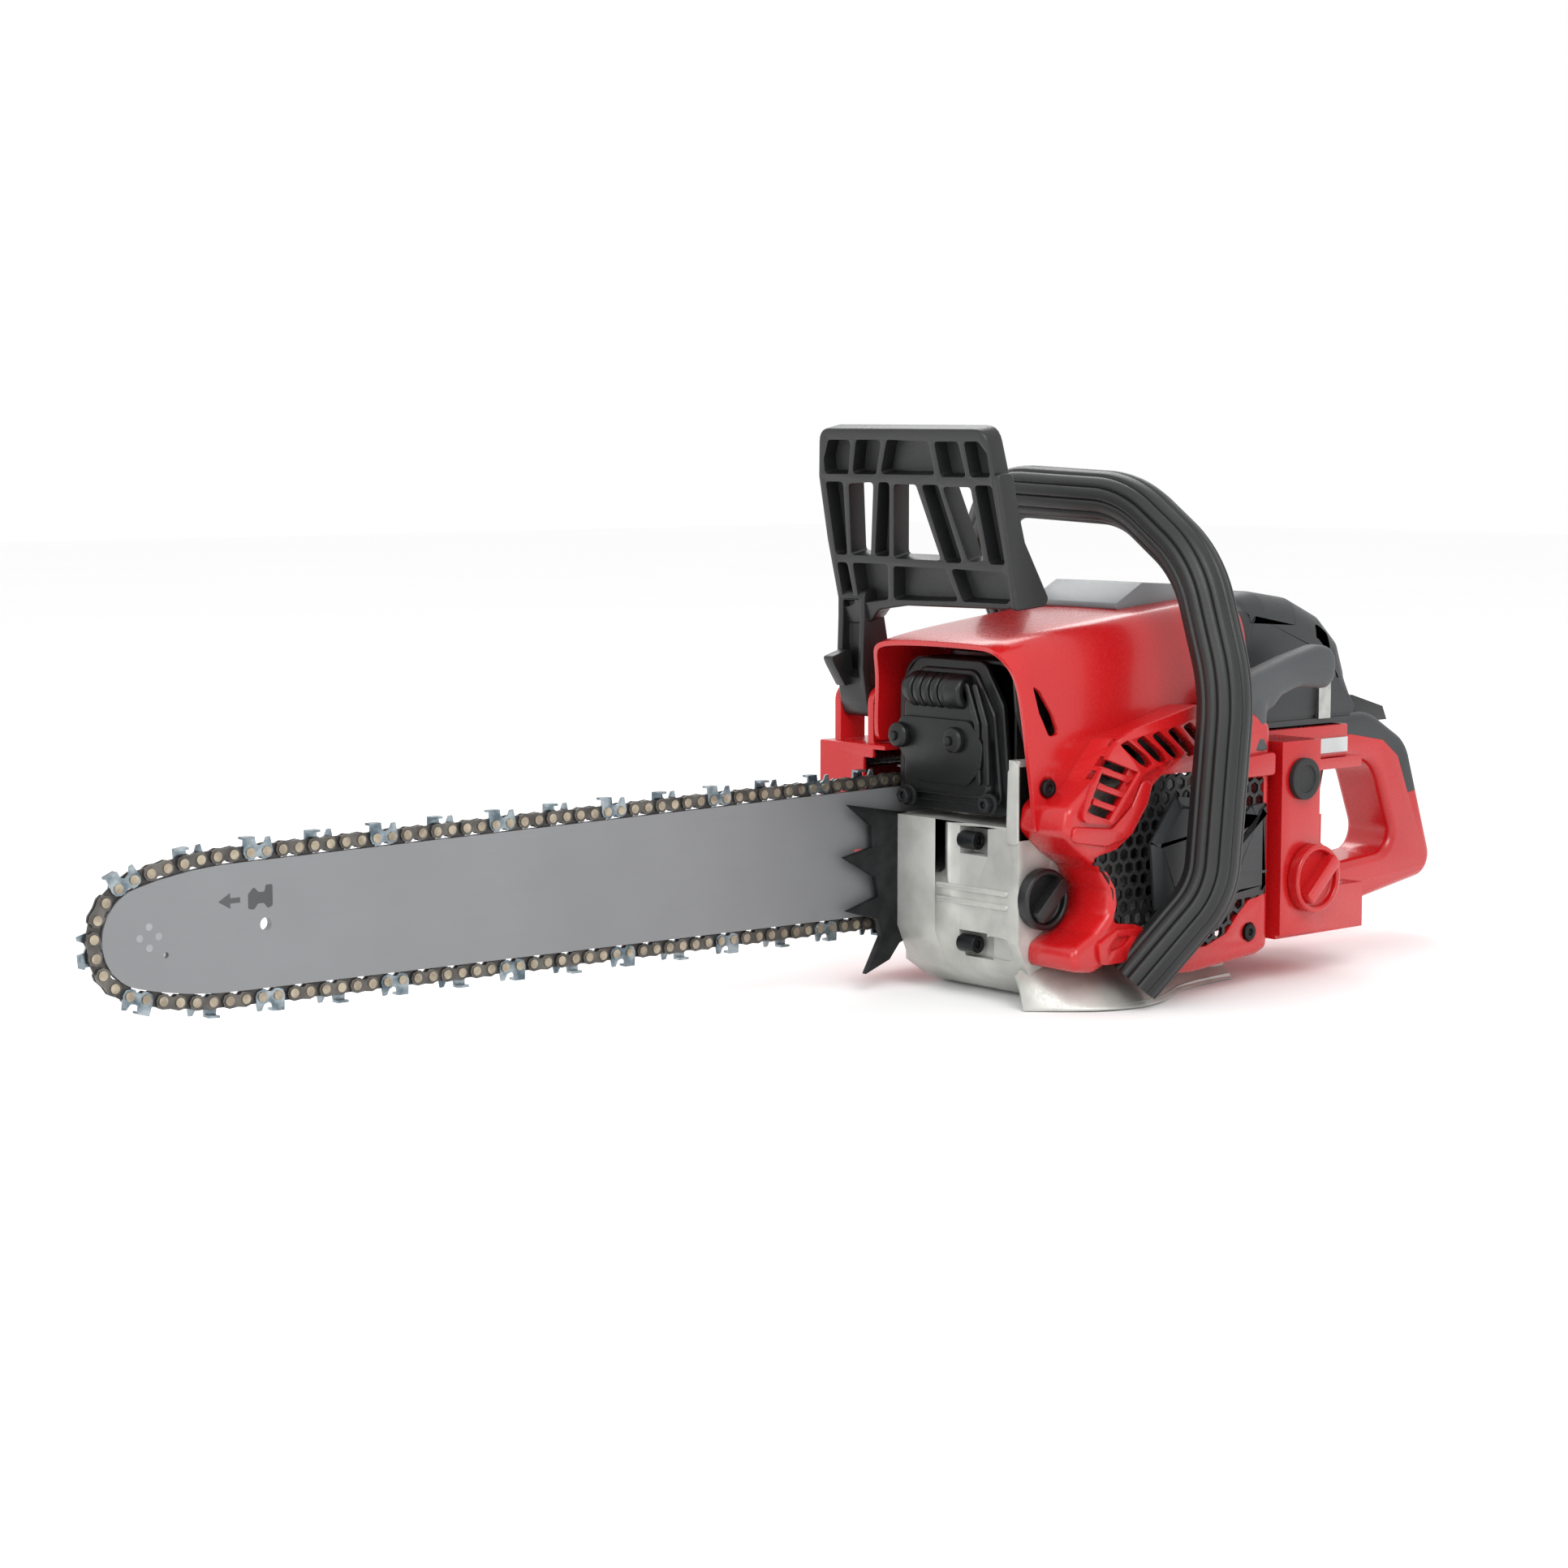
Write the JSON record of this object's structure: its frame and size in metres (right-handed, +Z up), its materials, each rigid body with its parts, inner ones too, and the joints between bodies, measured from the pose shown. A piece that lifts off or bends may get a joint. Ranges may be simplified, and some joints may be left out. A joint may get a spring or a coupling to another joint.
{
  "type": "chainsaw",
  "caption": "Petrol chainsaw with guide bar and saw chain, two-stroke engine, recoil starter, wrap-around front handle, chain brake guard and rear handle.",
  "frame": {"origin": "on the ground plane below the crankshaft axis, at the middle of the muffler's width", "axes": "+Z up; the guide bar points to -X and the rear handle to +X; the starter side is -Y and the clutch side +Y"},
  "size_m": [0.8394, 0.2228, 0.2937],
  "materials": {
    "red_abs": "gloss moulded ABS",
    "grey_plastic": "fine textured nylon",
    "black_plastic": "fine textured nylon",
    "grip_rubber": "fluted soft rubber",
    "cast_magnesium": "die cast, bead blasted",
    "black_steel": "black enamel",
    "bar_steel": "satin ground",
    "chain_steel": "oil darkened",
    "rivet_steel": "bright tan rivet steel",
    "cutter_chrome": "bluish chrome plate",
    "bright_steel": "bright zinc plate",
    "gasket_fibre": "pressed fibre",
    "rope_nylon": "braided nylon",
    "plug_ceramic": "glazed ceramic with a rubber boot"
  },
  "bodies": {
    "housing": {"air_filter": "gasket_fibre", "badge_panel": "grey_plastic", "bar_studs_and_nuts": "bright_steel", "brake_band": "black_steel", "bumper_spike": "black_steel", "carburettor": "cast_magnesium", "chain_catcher": "grey_plastic", "chain_cutters": "cutter_chrome", "chain_drive_links": "chain_steel", "chain_rivets": "rivet_steel", "chain_tensioner": "chain_steel", "chain_tie_straps": "chain_steel", "clutch_cover": "red_abs", "crank_bearings": "bright_steel", "crankcase_left": "cast_magnesium", "crankcase_right": "cast_magnesium", "cylinder": "cast_magnesium", "filter_base": "red_abs", "filter_cover": "black_plastic", "filter_cover_clips": "bright_steel", "front_handle_grip": "grip_rubber", "front_handle_tube": "black_steel", "gaskets": "gasket_fibre", "grip_overlay": "grey_plastic", "guide_bar": "bar_steel", "housing_screws": "black_steel", "ignition_coil": "black_plastic", "intake_boot": "grip_rubber", "label_strip": "bright_steel", "mount_plug": "grey_plastic", "muffler_body": "black_steel", "muffler_bolts": "black_steel", "muffler_cover": "black_steel", "nose_bearing": "bar_steel", "oil_pump": "cast_magnesium", "pivot_pins": "bright_steel", "rewind_spring": "bright_steel", "spark_plug": "plug_ceramic", "starter_cover": "red_abs", "starter_grille": "black_plastic", "starter_rope": "rope_nylon", "tank_and_handle": "red_abs", "top_cover": "red_abs", "top_panel": "grey_plastic"},
    "hand_guard": {"hand_guard": "black_plastic"},
    "throttle_trigger": {"throttle_trigger": "grey_plastic"},
    "throttle_lockout": {"throttle_lockout": "grey_plastic"},
    "throttle_valve": {"throttle_valve": "bright_steel"},
    "crankshaft": {"crankshaft": "bright_steel", "flywheel": "cast_magnesium", "clutch": "chain_steel"},
    "piston": {"piston": "cast_magnesium", "piston_rings_and_pin": "bright_steel", "connecting_rod": "bright_steel"},
    "clutch_drum": {"clutch_drum": "chain_steel"},
    "nose_sprocket": {"nose_sprocket": "chain_steel"},
    "pull_handle": {"pull_handle": "grey_plastic"},
    "starter_pulley": {"starter_pulley": "grey_plastic"},
    "fuel_cap": {"fuel_cap": "red_abs"},
    "oil_cap": {"oil_cap": "grey_plastic"}
  },
  "joints": [
    {"name": "guard_pivot", "type": "hinge", "parent": "housing", "child": "hand_guard", "pos_m": [-0.078, 0.071, 0.148], "axis": [0, -1, 0], "range_deg": [0, 22]},
    {"name": "trigger_pivot", "type": "hinge", "parent": "housing", "child": "throttle_trigger", "pos_m": [0.186, -0.005, 0.112], "axis": [0, -1, 0], "range_deg": [0, 18], "stiffness_Nm_per_rad": 0.03},
    {"name": "lockout_pivot", "type": "hinge", "parent": "housing", "child": "throttle_lockout", "pos_m": [0.202, -0.005, 0.127], "axis": [0, 1, 0], "range_deg": [0, 8], "stiffness_Nm_per_rad": 0.03},
    {"name": "throttle_shaft", "type": "hinge", "parent": "housing", "child": "throttle_valve", "pos_m": [0.092, 0.008, 0.142], "axis": [0, 0, 1], "range_deg": [0, 75]},
    {"name": "crank_spin", "type": "hinge", "parent": "housing", "child": "crankshaft", "pos_m": [0, 0.008, 0.072], "axis": [0, 1, 0], "continuous": true, "deforming": ["connecting_rod"]},
    {"name": "piston_slide", "type": "slide", "parent": "housing", "child": "piston", "axis": [0, 0, 1], "range_m": [-0.032, 0], "deforming": ["connecting_rod"]},
    {"name": "drum_spin", "type": "hinge", "parent": "housing", "child": "clutch_drum", "pos_m": [0, 0.055, 0.072], "axis": [0, 1, 0], "continuous": true, "deforming": ["chain_drive_links", "chain_cutters", "chain_tie_straps", "chain_rivets"]},
    {"name": "nose_spin", "type": "hinge", "parent": "housing", "child": "nose_sprocket", "pos_m": [-0.52106, 0.045, 0.072], "axis": [0, 1, 0], "continuous": true, "deforming": ["chain_drive_links", "chain_cutters", "chain_tie_straps", "chain_rivets"]},
    {"name": "pull_slide", "type": "slide", "parent": "housing", "child": "pull_handle", "axis": [0, 0, 1], "range_m": [0, 0.7], "deforming": ["starter_rope"]},
    {"name": "pulley_spin", "type": "hinge", "parent": "housing", "child": "starter_pulley", "pos_m": [0, -0.075, 0.072], "axis": [0, -1, 0], "range_deg": [0, 2057.8], "deforming": ["rewind_spring", "starter_rope"]},
    {"name": "fuel_cap_turn", "type": "hinge", "parent": "housing", "child": "fuel_cap", "pos_m": [0.093, -0.09, 0.055], "axis": [0, -1, 0], "range_deg": [0, 90]},
    {"name": "oil_cap_turn", "type": "hinge", "parent": "housing", "child": "oil_cap", "pos_m": [-0.074, -0.055, 0.056], "axis": [0, -1, 0], "range_deg": [0, 90]}
  ],
  "couplings": [
    {"joint": "throttle_shaft", "follows": "trigger_pivot", "ratio": 4.1667},
    {"joint": "nose_spin", "follows": "drum_spin", "ratio": 0.7},
    {"joint": "pulley_spin", "follows": "pull_slide", "rad_per_m": 51.282}
  ]
}
